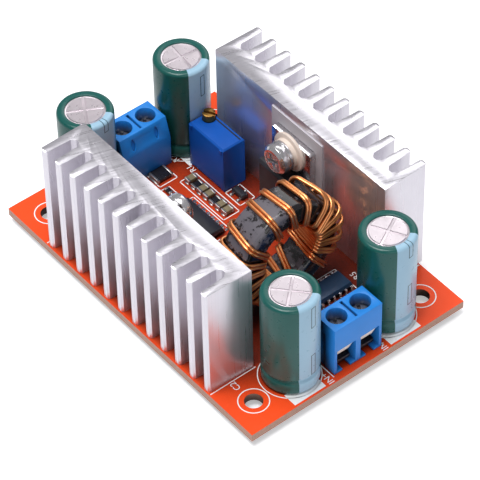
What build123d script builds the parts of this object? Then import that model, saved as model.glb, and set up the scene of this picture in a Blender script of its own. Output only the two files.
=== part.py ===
from build123d import *
import math
import os

# A step-up power converter on one small board: two finned heatsinks, each cooling a power transistor,
# a toroidal choke standing between them, four electrolytic capacitors, two screw terminals, a trimmer
# and surface-mounted parts. Millimetres. The origin is the centre of the four mounting holes on the
# underside of the board, X runs along the board towards the input end, Z points up.

# Board
board_length = 67.0
board_thickness = 1.6
mount_hole_diameter = 3.2
mount_hole_from_end = 5.5
mount_hole_from_side = 4.85
lead_hole_clearance = 0.12
lead_sides = 8

# Solder joints under the board
joint_height = 1.3
joint_pad_margin = 0.55
joint_tip_margin = 0.12
joint_waist = 0.4

# Heatsinks
heatsink_from_board_end = 11.3
heatsink_depth = 9.3
heatsink_height = 23.1
heatsink_base = 3.5
fin_count = 12
fin_root_thickness = 1.8
fin_tip_thickness = 1.5
fin_root_chamfer = 0.7
fin_tip_chamfer = 0.35
left_heatsink_inset = 0.25
right_heatsink_overhang = 1.05

# Transistors, their insulation and their screws
tab_width = 10.0
tab_thickness = 1.3
tab_hole_diameter = 3.75
tab_hole_to_top = 2.4
tab_hole_to_body = 3.8
tab_corner_cut = 0.3
package_height = 9.2
package_width = 10.2
package_depth = 3.2
package_draft_cut = 0.5
lead_pitch = 2.54
lead_width = 0.8
lead_thickness = 0.5
lead_shoulder_width = 1.25
lead_shoulder_drop = 2.2
lead_from_tab = 1.15
pad_width = 13.2
pad_height = 18.0
pad_thickness = 0.25
pad_above_hole = 5.0
bushing_flange_diameter = 7.4
bushing_flange_thickness = 0.6
bushing_collar_diameter = 5.5
bushing_height = 1.4
bushing_wall = 0.22
bushing_nose_clearance = 0.04
screw_diameter = 3.0
screw_fit_clearance = 0.05
screw_bore_clearance = 0.1
screw_engagement = 3.0
screw_head_diameter = 5.5
screw_head_height = 1.8
screw_crown = 0.55
screw_recess_width = 0.8
screw_recess_length = 3.0
screw_recess_depth = 0.9
spring_washer_diameter = 5.6
spring_washer_thickness = 0.8
spring_washer_gap = 0.7
left_transistor_x = -2.3
left_transistor_hole_height = 15.2
right_transistor_x = -0.15
right_transistor_hole_height = 16.3

# Choke
core_outer_diameter = 20.4
core_inner_diameter = 12.0
core_width = 6.6
core_edge_chamfer = 0.6
choke_from_amplifier = 5.0
choke_left_gap = 2.76
choke_right_gap = 3.76
strand_diameter = 0.6
strand_spacing = 0.63
winding_slack = 0.04
winding_board_gap = 1.71
winding_sides = 6
turn_angles = (250, 276, 312, 331, 344.5, 358, 374, 391, 405, 429, 450, 472, 503, 519, 533, 552, 566,
               580, 596)
choke_lead_spread = 2.0
choke_lead_straight = 0.4

# Capacitors
can_diameter = 9.7
can_height = 19.7
groove_height = 2.6
groove_depth = 0.1
groove_width = 1.2
bung_diameter = 7.6
bung_stand_off = 0.35
sleeve_thickness = 0.12
sleeve_clearance = 0.02
sleeve_lip = 1.33
cap_lead_diameter = 0.8
cap_lead_pitch = 5.0
cap_from_board_end = 6.25
cap_terminal_gap = 0.1

# Screw terminals
terminal_width = 10.16
terminal_depth = 6.3
terminal_height = 10.5
terminal_pitch = 5.08
terminal_back_chamfer_drop = 4.0
terminal_back_chamfer_depth = 1.2
terminal_y = 0.7
input_front_from_end = 1.3
output_front_from_end = 3.1
well_diameter = 3.6
well_from_front = 2.6
opening_width = 4.0
opening_floor = 0.45
opening_top = 5.3
opening_depth = 5.4
floor_slot_width = 1.7
floor_slot_depth = 4.9
top_slot_width = 0.55
top_slot_length = 4.1
top_slot_depth = 0.7
back_pocket_width = 0.9
back_pocket_height = 2.6
back_pocket_depth = 0.5
side_rib_width = 1.5
side_rib_depth = 0.2
side_rib_top = 8.0
contact_width = 3.6
contact_plate = 0.7
contact_nut_height = 1.0
contact_nut_top = 5.0
contact_front = 1.3
contact_back = 5.2
contact_pin_width = 1.0
contact_pin_thickness = 0.7
contact_pin_from_front = 4.0
leaf_thickness = 0.35
leaf_height = 3.3
leaf_neck_width = 2.3
leaf_mouth_width = 3.5
leaf_mouth_height = 5.1
leaf_mouth_from_front = 0.3
leaf_end_from_front = 4.2
leaf_screw_gap = 0.12
clamp_screw_diameter = 2.4
clamp_screw_clearance = 0.05
clamp_head_diameter = 3.3
clamp_head_height = 1.2
clamp_head_top = 8.0
clamp_slot_width = 0.6
clamp_slot_depth = 0.6
clamp_tip_gap = 0.05

# Trimmer
trimmer_length = 9.5
trimmer_width = 4.8
trimmer_height = 10.0
trimmer_heatsink_gap = 1.7
trimmer_cap_gap = 0.3
trimmer_foot = 0.3
trimmer_screw_diameter = 2.3
trimmer_screw_height = 1.4
trimmer_screw_sink = 1.0
trimmer_screw_clearance = 0.1
trimmer_screw_from_end = 1.5
trimmer_screw_slot_width = 0.55
trimmer_screw_slot_depth = 0.6
trimmer_pin_diameter = 0.5
trimmer_pin_pitch = 2.54
trimmer_edge_chamfer = 0.3

# Small-outline chips
chip_pin_pitch = 1.27
chip_body_width = 3.9
chip_body_height = 1.4
chip_stand_off = 0.2
chip_span = 6.0
chip_end_margin = 0.5
chip_draft = 0.25
chip_lead_width = 0.42
chip_lead_thickness = 0.2
chip_foot_length = 0.7
controller_gap = 3.4
controller_y = 0.0
controller_pins_per_side = 8
amplifier_cap_gap = 1.86
amplifier_y = 6.3
amplifier_pins_per_side = 7

# Two-terminal surface-mounted parts
row_offset = 0.3
row_y = 5.65
row_step = 1.68
row_count = 7
row_part_length = 2.0
row_part_width = 1.25
row_resistor_height = 0.5
row_capacitor_height = 0.85
end_cap_length = 0.4
end_cap_thickness = 0.05
sense_terminal_gap = 0.2
sense_y = 2.2
sense_length = 3.4
sense_width = 2.6
sense_height = 0.75
single_sense_gap = 1.8
single_y = 0.9
single_length = 1.6
single_width = 0.8
single_height = 0.45
reference_trimmer_gap = 0.8
reference_y = 9.95
reference_length = 2.9
reference_width = 1.3
reference_height = 0.95
reference_span = 2.4
reference_pin_pitch = 1.9
reference_lead_width = 0.42
reference_lead_thickness = 0.15

# Places that follow from the sizes above
board_top = board_thickness
strand_offset = winding_slack + strand_diameter / 2
winding_outer = core_outer_diameter / 2 + strand_offset
winding_inner = core_inner_diameter / 2 - strand_offset
winding_half = core_width / 2 + strand_offset
winding_reach = winding_outer + strand_diameter / 2
bend_cut = (2 - math.sqrt(2)) * strand_offset + core_edge_chamfer
between_heatsinks = choke_left_gap + 2 * winding_reach + choke_right_gap
board_width = between_heatsinks + 2 * heatsink_depth + left_heatsink_inset - right_heatsink_overhang
left_face_y = -board_width / 2 + left_heatsink_inset + heatsink_depth
right_face_y = left_face_y + between_heatsinks
heatsink_length = board_length - 2 * heatsink_from_board_end
sleeve_radius = can_diameter / 2 + sleeve_clearance + sleeve_thickness
cap_end_x = board_length / 2 - cap_from_board_end
cap_row_reach = terminal_width / 2 + side_rib_depth + cap_terminal_gap + sleeve_radius
input_front_x = board_length / 2 - input_front_from_end
output_front_x = board_length / 2 - output_front_from_end
amplifier_x = cap_end_x - sleeve_radius - amplifier_cap_gap - chip_span / 2
core_x = amplifier_x - choke_from_amplifier
core_y = left_face_y + choke_left_gap + winding_reach
core_z = board_top + winding_board_gap + winding_reach
trimmer_x = -cap_end_x + sleeve_radius + trimmer_cap_gap + trimmer_length / 2
trimmer_y = right_face_y - trimmer_heatsink_gap - trimmer_width / 2
reference_x = trimmer_x + (trimmer_length + reference_length) / 2 + reference_trimmer_gap
sense_x = -output_front_x + terminal_depth + sense_terminal_gap + sense_width / 2
single_x = sense_x + (sense_width + single_length) / 2 + single_sense_gap
row_first_x = single_x + row_offset
controller_half = (controller_pins_per_side - 1) * chip_pin_pitch / 2 + chip_end_margin
controller_x = single_x + single_length / 2 + controller_gap + controller_half
on_top = (Align.CENTER, Align.CENTER, Align.MIN)

parts = {}


def block(x0, x1, y0, y1, z0, z1):
    """A box between two opposite corners."""
    centre = Pos((x0 + x1) / 2, (y0 + y1) / 2, (z0 + z1) / 2)
    return centre * Box(abs(x1 - x0), abs(y1 - y0), abs(z1 - z0))


def upright(diameter, z0, z1):
    """A round bar along Z between two heights."""
    return Pos(0, 0, z0) * Cylinder(diameter / 2, z1 - z0, align=on_top)


def lead_bar(diameter, z0, z1):
    """A thin bar along Z with few sides, for leads and the holes they pass through."""
    return Pos(0, 0, z0) * extrude(RegularPolygon(diameter / 2, lead_sides), z1 - z0)


def crosswise(diameter, y0, y1):
    """A round bar along Y between two depths."""
    bar = Rot(-90, 0, 0) * Cylinder(diameter / 2, y1 - y0, align=on_top)
    return Pos(0, y0, 0) * bar


def turned(points):
    """A solid of revolution about Z from its half section of (radius, height) points."""
    section = Plane.XZ * Polygon(*points, align=None)
    return revolve(section, Axis.Z)


def extruded_side(points, width):
    """A profile of (x, z) points drawn out along Y to both sides of the middle plane."""
    return extrude(Plane.XZ * Polygon(*points, align=None), width / 2, both=True)


# Where each lead passes through the board


def capacitor_places():
    """Name and centre of each capacitor."""
    rows = [("input_capacitor", cap_end_x), ("output_capacitor", -cap_end_x)]
    sides = [("left", terminal_y - cap_row_reach), ("right", terminal_y + cap_row_reach)]
    return [(f"{row}_{side}", x, y) for row, x in rows for side, y in sides]


def capacitor_lead_places():
    half = cap_lead_pitch / 2
    return [(x + side * half, y) for _, x, y in capacitor_places() for side in (-1, 1)]


def transistor_lead_places():
    from_face = pad_thickness + tab_thickness + lead_from_tab
    left = (left_transistor_x, left_face_y + from_face)
    right = (right_transistor_x, right_face_y - from_face)
    return [(x + step * lead_pitch, y) for x, y in (left, right) for step in (-1, 0, 1)]


def contact_pin_places():
    rows = [input_front_x - contact_pin_from_front, -output_front_x + contact_pin_from_front]
    return [(x, terminal_y + side * terminal_pitch / 2) for x in rows for side in (-1, 1)]


def trimmer_pin_places():
    return [(trimmer_x + step * trimmer_pin_pitch, trimmer_y) for step in (-1, 0, 1)]


def lead_places():
    """Every lead's place with its diameter across the corners."""
    transistor_lead = math.hypot(lead_width, lead_thickness)
    contact_pin = math.hypot(contact_pin_width, contact_pin_thickness)
    return (
        [(x, y, cap_lead_diameter) for x, y in capacitor_lead_places()]
        + [(x, y, transistor_lead) for x, y in transistor_lead_places()]
        + [(x, y, contact_pin) for x, y in contact_pin_places()]
        + [(x, y, trimmer_pin_diameter) for x, y in trimmer_pin_places()]
        + [(x, y, strand_diameter) for x, y in choke_lead_places()]
    )


# Board and solder


def make_board():
    board = Box(board_length, board_width, board_thickness, align=on_top)
    hole_x = board_length / 2 - mount_hole_from_end
    hole_y = board_width / 2 - mount_hole_from_side
    holes = [Pos(x, y, 0) * upright(mount_hole_diameter, 0, board_thickness)
             for x in (-hole_x, hole_x) for y in (-hole_y, hole_y)]
    for x, y, diameter in lead_places():
        holes.append(Pos(x, y, 0) * lead_bar(diameter + 2 * lead_hole_clearance, 0, board_thickness))
    parts["board"] = board - holes


def make_solder_joints():
    """A waisted cone of solder round each trimmed lead."""
    joints = []
    for x, y, diameter in lead_places():
        pad, tip = (diameter / 2 + margin for margin in (joint_pad_margin, joint_tip_margin))
        waist = tip + (pad - tip) * joint_waist
        depths = [(0, pad), (-joint_height * joint_waist, waist), (-joint_height, tip)]
        rings = [Pos(x, y, z) * RegularPolygon(radius, lead_sides) for z, radius in depths]
        joints.append(loft(rings, ruled=True))
    parts["solder_joints"] = joints


# Heatsinks


def heatsink_body():
    """The extrusion with its flat face on Y = 0 and its fins towards negative Y, standing on Z = 0."""
    first = heatsink_length / 2
    pitch = (heatsink_length - fin_root_thickness) / (fin_count - 1)
    root, tip = fin_root_thickness / 2, fin_tip_thickness / 2
    outline = [(first, 0)]
    for fin in range(fin_count):
        middle = first - root - fin * pitch
        near = root if fin == 0 else root + fin_root_chamfer
        far = root if fin == fin_count - 1 else root + fin_root_chamfer
        if fin:
            outline += [(middle + near, -heatsink_base), (middle + root, -heatsink_base - fin_root_chamfer)]
        outline += [
            (middle + tip, -heatsink_depth + fin_tip_chamfer),
            (middle + tip - fin_tip_chamfer, -heatsink_depth),
            (middle - tip + fin_tip_chamfer, -heatsink_depth),
            (middle - tip, -heatsink_depth + fin_tip_chamfer),
        ]
        if fin < fin_count - 1:
            outline += [(middle - root, -heatsink_base - fin_root_chamfer), (middle - far, -heatsink_base)]
    outline.append((-first, 0))
    return extrude(Polygon(*outline, align=None), heatsink_height, dir=(0, 0, 1))


def make_heatsink(name, place, screw_x, hole_height):
    tapped = Pos(screw_x, 0, hole_height) * crosswise(screw_diameter, -heatsink_base - fin_root_chamfer, 0)
    parts[name] = place * (heatsink_body() - tapped)


# Transistor on its heatsink. In these functions Y = 0 is the heatsink's face and +Y leads away from it,
# X = 0 is the screw's axis and Z = 0 the top of the board.

tab_front = pad_thickness + tab_thickness
bushing_front = tab_front + bushing_height
head_back = bushing_front + spring_washer_thickness


def insulating_pad(hole_height):
    top = hole_height + pad_above_hole
    sheet = block(-pad_width / 2, pad_width / 2, 0, pad_thickness, top - pad_height, top)
    return sheet - Pos(0, 0, hole_height) * crosswise(tab_hole_diameter, 0, pad_thickness)


def transistor_metal(hole_height):
    """The tab with its cropped corners, and the three leads."""
    top = hole_height + tab_hole_to_top
    bottom = hole_height - tab_hole_to_body - package_height
    half = tab_width / 2
    outline = [(-half, bottom), (half, bottom), (half, top - tab_corner_cut), (half - tab_corner_cut, top),
               (-half + tab_corner_cut, top), (-half, top - tab_corner_cut)]
    tab = extrude(Plane.XZ.offset(-pad_thickness) * Polygon(*outline, align=None), -tab_thickness)
    tab = tab - Pos(0, 0, hole_height) * crosswise(tab_hole_diameter, pad_thickness, tab_front)
    y = tab_front + lead_from_tab
    leads = []
    for step in (-1, 0, 1):
        x = step * lead_pitch
        shoulder = block(x - lead_shoulder_width / 2, x + lead_shoulder_width / 2, y - lead_thickness / 2,
                         y + lead_thickness / 2, bottom - lead_shoulder_drop, bottom)
        leg = block(x - lead_width / 2, x + lead_width / 2, y - lead_thickness / 2, y + lead_thickness / 2,
                    -board_thickness, bottom)
        leads.append(shoulder + leg)
    return [tab] + leads


def transistor_package(hole_height):
    top = hole_height - tab_hole_to_body
    body = block(-package_width / 2, package_width / 2, tab_front, tab_front + package_depth,
                 top - package_height, top)
    front_edges = body.faces().sort_by(Axis.Y)[-1].edges()
    return chamfer(front_edges, package_draft_cut)


def insulating_bushing():
    """The stepped bushing: a nose through the tab, a flange on it and a collar under the screw."""
    nose = tab_hole_diameter - 2 * bushing_nose_clearance
    bore = nose - 2 * bushing_wall
    flange = crosswise(bushing_flange_diameter, tab_front, tab_front + bushing_flange_thickness)
    collar = crosswise(bushing_collar_diameter, tab_front, bushing_front)
    stem = crosswise(nose, pad_thickness, tab_front)
    return flange + collar + stem - crosswise(bore, 0, bushing_front)


def spring_washer():
    ring = crosswise(spring_washer_diameter, bushing_front, head_back)
    ring = ring - crosswise(screw_diameter + 2 * screw_bore_clearance, 0, head_back)
    half = spring_washer_gap / 2
    gap = block(-half, half, bushing_front, head_back, 0, spring_washer_diameter)
    return ring - Rot(0, 35, 0) * gap


def mounting_screw():
    """A pan-head screw with a cross recess, its head towards +Y."""
    front = head_back + screw_head_height
    shank = crosswise(screw_diameter - 2 * screw_fit_clearance, -screw_engagement, head_back)
    half_section = [
        (0, head_back), (screw_head_diameter / 2, head_back),
        (screw_head_diameter / 2, front - screw_crown),
        (screw_head_diameter / 2 - screw_crown, front), (0, front),
    ]
    head = Rot(-90, 0, 0) * turned(half_section)
    arm = block(-screw_recess_length / 2, screw_recess_length / 2, front - screw_recess_depth, front,
                -screw_recess_width / 2, screw_recess_width / 2)
    return shank + head - Rot(0, 25, 0) * arm - Rot(0, 115, 0) * arm


def make_transistor_group(side, place, hole_height):
    at_screw = place * Pos(0, 0, hole_height)
    parts[side + "_insulating_pad"] = place * insulating_pad(hole_height)
    parts[side + "_transistor_metal"] = [place * solid for solid in transistor_metal(hole_height)]
    parts[side + "_transistor_body"] = place * transistor_package(hole_height)
    parts[side + "_bushing"] = at_screw * insulating_bushing()
    parts[side + "_spring_washer"] = at_screw * spring_washer()
    parts[side + "_mounting_screw"] = at_screw * mounting_screw()


def make_cooling():
    left = Pos(0, left_face_y, board_top)
    right = Pos(0, right_face_y, board_top) * Rot(0, 0, 180)
    make_heatsink("left_heatsink", left, left_transistor_x, left_transistor_hole_height)
    make_heatsink("right_heatsink", right, -right_transistor_x, right_transistor_hole_height)
    make_transistor_group("left", left * Pos(left_transistor_x, 0, 0), left_transistor_hole_height)
    make_transistor_group("right", right * Pos(-right_transistor_x, 0, 0), right_transistor_hole_height)


# Choke


def make_core():
    """The ring core, standing with its axis along X."""
    outer, inner = core_outer_diameter / 2, core_inner_diameter / 2
    half, cut = core_width / 2, core_edge_chamfer
    half_section = [
        (inner + cut, -half), (outer - cut, -half), (outer, -half + cut), (outer, half - cut),
        (outer - cut, half), (inner + cut, half), (inner, half - cut), (inner, -half + cut),
    ]
    parts["choke_core"] = Pos(core_x, core_y, core_z) * Rot(0, 90, 0) * turned(half_section)


def choke_point(radius, angle, x, shift=0):
    """A point of the winding: distance from the core's axis, angle from +Y towards +Z, place along X."""
    turn = math.radians(angle)
    y = core_y + radius * math.cos(turn) - shift * math.sin(turn)
    z = core_z + radius * math.sin(turn) + shift * math.cos(turn)
    return Vector(core_x + x, y, z)


def choke_lead_places():
    """Start leads on the +X face of the core, finish leads on its -X face."""
    places = []
    for angle, end in ((turn_angles[0], 1), (turn_angles[-1], -1)):
        middle = choke_point(winding_outer - bend_cut, angle, end * winding_half)
        places += [(middle.X, middle.Y + side * choke_lead_spread / 2) for side in (-1, 1)]
    return places


def winding_path(side):
    """One strand from its start lead, round the core turn by turn, to its finish lead."""
    shift = side * strand_spacing / 2
    start, finish = choke_lead_places()[max(side, 0)], choke_lead_places()[2 + max(side, 0)]
    knee = board_top + choke_lead_straight
    path = [Vector(*start, 0), Vector(*start, knee)]
    last = len(turn_angles) - 1
    for turn, angle in enumerate(turn_angles):
        step = turn_angles[turn + 1] - angle if turn < last else 0
        if turn:
            path.append(choke_point(winding_outer, angle, bend_cut - winding_half, shift))
            path.append(choke_point(winding_outer, angle, winding_half - bend_cut, shift))
        path.append(choke_point(winding_outer - bend_cut, angle, winding_half, shift))
        path.append(choke_point(winding_inner, angle + 0.3 * step, winding_half, shift))
        path.append(choke_point(winding_inner, angle + 0.6 * step, -winding_half, shift))
        if turn < last:
            path.append(choke_point(winding_outer - bend_cut, angle + step, -winding_half, shift))
    path.append(choke_point(winding_outer - bend_cut, turn_angles[-1], -winding_half, shift))
    return path + [Vector(*finish, knee), Vector(*finish, 0)]


def mitred_rod(path, diameter, sides):
    """A rod of even section along a path of straight lengths, its corners mitred."""
    runs = [(end - start).normalized() for start, end in zip(path, path[1:])]
    frame = Plane(path[0], z_dir=runs[0])
    corners = [2 * math.pi * corner / sides for corner in range(sides)]
    ring = [frame.from_local_coords((diameter / 2 * math.cos(a), diameter / 2 * math.sin(a), 0))
            for a in corners]
    faces = [Face(Wire.make_polygon(ring))]
    for place, (point, run) in enumerate(zip(path[1:], runs)):
        following = runs[place + 1] if place + 1 < len(runs) else run
        mitre = (run + following).normalized()
        moved = [corner + run * ((point - corner).dot(mitre) / run.dot(mitre)) for corner in ring]
        for one, two in zip(range(sides), list(range(1, sides)) + [0]):
            faces.append(Face(Wire.make_polygon([ring[one], ring[two], moved[two], moved[one]])))
        ring = moved
    faces.append(Face(Wire.make_polygon(ring)))
    return Solid(Shell(faces))


def make_winding():
    """Two strands side by side, as one closed wire each."""
    parts["choke_winding"] = [mitred_rod(winding_path(side), strand_diameter, winding_sides)
                              for side in (-1, 1)]


# Capacitors


def capacitor_can():
    foot = board_top + bung_stand_off
    return upright(can_diameter, foot, foot + can_height)


def capacitor_sleeve():
    """The shrunk sleeve: it draws in over the can's crimped groove and rolls over the top edge."""
    inner, foot = can_diameter / 2 + sleeve_clearance, board_top + bung_stand_off
    outer = inner + sleeve_thickness
    low, middle, high = (foot + groove_height + step * groove_width / 2 for step in (-1, 0, 1))
    top, lip = foot + can_height, inner - sleeve_lip
    return turned([
        (outer, foot), (outer, low), (outer - groove_depth, middle), (outer, high),
        (outer, top + sleeve_thickness), (lip, top + sleeve_thickness), (lip, top), (inner, top),
        (inner, foot),
    ])


def capacitor_bung():
    """The rubber bung that the can stands on, with its two lead holes."""
    bung = upright(bung_diameter, board_top, board_top + bung_stand_off)
    for side in (-1, 1):
        hole = lead_bar(cap_lead_diameter, board_top, board_top + bung_stand_off)
        bung -= Pos(side * cap_lead_pitch / 2, 0, 0) * hole
    return bung


def make_capacitors():
    leads = []
    for name, x, y in capacitor_places():
        place = Pos(x, y, 0)
        parts[name + "_can"] = place * capacitor_can()
        parts[name + "_sleeve"] = place * capacitor_sleeve()
        parts[name + "_bung"] = place * capacitor_bung()
    for x, y in capacitor_lead_places():
        leads.append(Pos(x, y, 0) * lead_bar(cap_lead_diameter, 0, board_top + bung_stand_off))
    parts["capacitor_leads"] = leads


# Screw terminals. In these functions X = 0 is the front face and +X leads inwards, Y = 0 is the middle
# of the terminal or of one pole, and Z = 0 is the top of the board.


def terminal_housing():
    depth, height = terminal_depth, terminal_height
    body = extruded_side([
        (0, 0), (depth, 0), (depth, height - terminal_back_chamfer_drop),
        (depth - terminal_back_chamfer_depth, height), (0, height),
    ], terminal_width)
    side = terminal_width / 2
    rib = extruded_side([(0, 0), (side_rib_width, 0), (side_rib_width, side_rib_top), (0, side_rib_top)],
                        2 * side_rib_depth)
    body += Pos(depth / 2 - side_rib_width / 2, -side, 0) * rib
    body -= Pos(depth / 2 - side_rib_width / 2, side, 0) * rib
    body -= block(well_from_front - top_slot_length / 2, well_from_front + top_slot_length / 2,
                  -top_slot_width / 2, top_slot_width / 2, height - top_slot_depth, height)
    for pole in (-terminal_pitch / 2, terminal_pitch / 2):
        body -= Pos(0, pole, 0) * pole_cavity()
    return body


def pole_cavity():
    """All that is hollow in one pole: screw well, wire opening, floor slot and pointed back pocket."""
    well = Pos(well_from_front, 0, 0) * upright(well_diameter, opening_top, terminal_height)
    opening = block(0, opening_depth, -opening_width / 2, opening_width / 2, opening_floor, opening_top)
    slot = block(0, floor_slot_depth, -floor_slot_width / 2, floor_slot_width / 2, 0, opening_floor)
    lean = math.degrees(math.atan2(terminal_back_chamfer_depth, terminal_back_chamfer_drop))
    middle_x = terminal_depth - terminal_back_chamfer_depth / 2
    middle_z = terminal_height - terminal_back_chamfer_drop / 2
    radius = (back_pocket_height ** 2 / 4 + back_pocket_width ** 2 / 4) / back_pocket_width
    reach = radius - back_pocket_width / 2
    drum = Rot(0, 90, 0) * Cylinder(radius, 2 * back_pocket_depth)
    pocket = Pos(0, reach, 0) * drum & Pos(0, -reach, 0) * drum
    return well + opening + slot + Pos(middle_x, 0, middle_z) * Rot(0, -lean, 0) * pocket


def terminal_contact():
    """The clamp's fixed bracket, open to the front, with its threaded top and its solder pin."""
    front, back, floor = contact_front, contact_back, opening_floor
    under_nut = contact_nut_top - contact_nut_height
    bracket = extruded_side([
        (front, floor), (back, floor), (back, contact_nut_top), (front, contact_nut_top),
        (front, under_nut), (back - contact_plate, under_nut),
        (back - contact_plate, floor + contact_plate), (front, floor + contact_plate),
    ], contact_width)
    bracket -= Pos(well_from_front, 0, 0) * upright(clamp_screw_diameter, under_nut, contact_nut_top)
    x = contact_pin_from_front
    pin = block(x - contact_pin_thickness / 2, x + contact_pin_thickness / 2, -contact_pin_width / 2,
                contact_pin_width / 2, -board_thickness, floor)
    return bracket + pin


def clamp_leaf():
    """The wire guard under the screw: a flat leaf with a lip that flares up to the mouth."""
    z, thick = leaf_height, leaf_thickness
    mouth_x, end_x = leaf_mouth_from_front, leaf_end_from_front
    root_x = well_from_front - clamp_screw_diameter / 2 - leaf_screw_gap
    bend_x = root_x - thick
    lip_and_leaf = extruded_side([
        (mouth_x, leaf_mouth_height), (bend_x, z), (end_x, z), (end_x, z + thick),
        (root_x, z + thick), (mouth_x + thick, leaf_mouth_height),
    ], leaf_mouth_width)
    neck, mouth = leaf_neck_width / 2, leaf_mouth_width / 2
    plan = Polygon((mouth_x, -mouth), (bend_x, -neck), (end_x, -neck), (end_x, neck), (bend_x, neck),
                   (mouth_x, mouth), align=None)
    return lip_and_leaf & extrude(plan, terminal_height)


def clamp_screw():
    """The slotted clamp screw, at the height of an open terminal."""
    tip = leaf_height + leaf_thickness + clamp_tip_gap
    under_head = clamp_head_top - clamp_head_height
    shank = upright(clamp_screw_diameter - 2 * clamp_screw_clearance, tip, under_head)
    head = upright(clamp_head_diameter, under_head, clamp_head_top)
    slot = block(-clamp_slot_width / 2, clamp_slot_width / 2, -clamp_head_diameter, clamp_head_diameter,
                 clamp_head_top - clamp_slot_depth, clamp_head_top)
    return Pos(well_from_front, 0, 0) * (shank + head - Rot(0, 0, 62) * slot)


def make_terminal(name, place):
    parts[name + "_terminal_housing"] = place * terminal_housing()
    contacts = []
    for number, side in ((1, -1), (2, 1)):
        pole = place * Pos(0, side * terminal_pitch / 2, 0)
        contacts.append(pole * terminal_contact())
        parts[f"{name}_clamp_leaf_{number}"] = pole * clamp_leaf()
        parts[f"{name}_clamp_screw_{number}"] = pole * clamp_screw()
    parts[name + "_terminal_contacts"] = contacts


def make_terminals():
    make_terminal("input", Pos(input_front_x, terminal_y, board_top) * Rot(0, 0, 180))
    make_terminal("output", Pos(-output_front_x, terminal_y, board_top))


# Trimmer


def make_trimmer():
    place = Pos(trimmer_x, trimmer_y, board_top)
    screw_x = trimmer_screw_from_end - trimmer_length / 2
    screw_y = trimmer_width / 2 - trimmer_screw_from_end
    case = block(-trimmer_length / 2, trimmer_length / 2, -trimmer_width / 2, trimmer_width / 2, 0,
                 trimmer_height)
    case = chamfer(case.faces().sort_by(Axis.Z)[-1].edges(), trimmer_edge_chamfer)
    case -= block(-trimmer_length / 2 + 3 * trimmer_foot, trimmer_length / 2 - 3 * trimmer_foot,
                  -trimmer_width / 2, trimmer_width / 2, 0, trimmer_foot)
    bottom, top = trimmer_height - trimmer_screw_sink, trimmer_height + trimmer_screw_height
    socket_diameter = trimmer_screw_diameter + 2 * trimmer_screw_clearance
    case -= Pos(screw_x, screw_y, 0) * upright(socket_diameter, bottom, trimmer_height)
    screw = upright(trimmer_screw_diameter, bottom, top)
    screw -= Rot(0, 0, 30) * block(-trimmer_screw_diameter, trimmer_screw_diameter,
                                   -trimmer_screw_slot_width / 2, trimmer_screw_slot_width / 2,
                                   top - trimmer_screw_slot_depth, top)
    parts["trimmer_case"] = place * case
    parts["trimmer_screw"] = place * Pos(screw_x, screw_y, 0) * screw
    parts["trimmer_pins"] = [Pos(x, y, 0) * lead_bar(trimmer_pin_diameter, 0, board_top + trimmer_foot)
                             for x, y in trimmer_pin_places()]


# Surface-mounted parts


def chip_body(pins_per_side):
    """A small-outline body, drafted above and below its lead plane, standing over Z = 0."""
    half = (pins_per_side - 1) * chip_pin_pitch / 2 + chip_end_margin
    wide = chip_body_width / 2
    low, high = chip_stand_off, chip_stand_off + chip_body_height
    middle = (low + high) / 2
    lower = loft([Pos(0, 0, low) * Rectangle(2 * (half - chip_draft), 2 * (wide - chip_draft)),
                  Pos(0, 0, middle) * Rectangle(2 * half, 2 * wide)])
    upper = loft([Pos(0, 0, middle) * Rectangle(2 * half, 2 * wide),
                  Pos(0, 0, high) * Rectangle(2 * (half - chip_draft), 2 * (wide - chip_draft))])
    return lower + upper


def gull_lead():
    """One gull-wing lead in the XZ plane, leaving the body at negative X and ending in its foot."""
    body, end, thick = chip_body_width / 2, chip_span / 2, chip_lead_thickness
    middle = chip_stand_off + chip_body_height / 2
    knee = end - chip_foot_length
    return extruded_side([
        (body, middle + thick / 2), (body, middle - thick / 2), (knee - thick, middle - thick / 2),
        (knee - thick / 2, 0), (end, 0), (end, thick), (knee + thick / 2, thick),
        (knee, middle + thick / 2),
    ], chip_lead_width)


def make_chip(name, place, pins_per_side):
    parts[name + "_body"] = place * chip_body(pins_per_side)
    leads = []
    for pin in range(pins_per_side):
        along = (pin - (pins_per_side - 1) / 2) * chip_pin_pitch
        for turn in (90, -90):
            leads.append(place * Pos(along, 0, 0) * Rot(0, 0, turn) * gull_lead())
    parts[name + "_leads"] = leads


def two_ended(length, width, height):
    """A chip part along Y: its body and its two wrapped end caps."""
    inner = length - 2 * end_cap_length
    body = Pos(0, 0, end_cap_thickness) * Box(width, length - 2 * end_cap_thickness, height, align=on_top)
    ends = []
    for side in (-1, 1):
        cap = Pos(0, side * (length - end_cap_length) / 2, 0) * Box(
            width + 2 * end_cap_thickness, end_cap_length, height + 2 * end_cap_thickness, align=on_top)
        ends.append(cap - body)
    return body, ends


def make_small_parts():
    resistors, capacitors, ends = [], [], []
    for number in range(row_count):
        ceramic = number % 3 != 1
        height = row_capacitor_height if ceramic else row_resistor_height
        place = Pos(row_first_x + number * row_step, row_y, board_top)
        body, caps = two_ended(row_part_length, row_part_width, height)
        (capacitors if ceramic else resistors).append(place * body)
        ends += [place * cap for cap in caps]
    sense_body, sense_caps = two_ended(sense_length, sense_width, sense_height)
    sense_place = Pos(sense_x, sense_y, board_top)
    single_body, single_caps = two_ended(single_length, single_width, single_height)
    single_place = Pos(single_x, single_y, board_top) * Rot(0, 0, 90)
    resistors.append(single_place * single_body)
    ends += [sense_place * cap for cap in sense_caps] + [single_place * cap for cap in single_caps]
    parts["chip_resistors"] = resistors
    parts["chip_capacitors"] = capacitors
    parts["chip_end_caps"] = ends
    parts["sense_resistor"] = sense_place * sense_body


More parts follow.
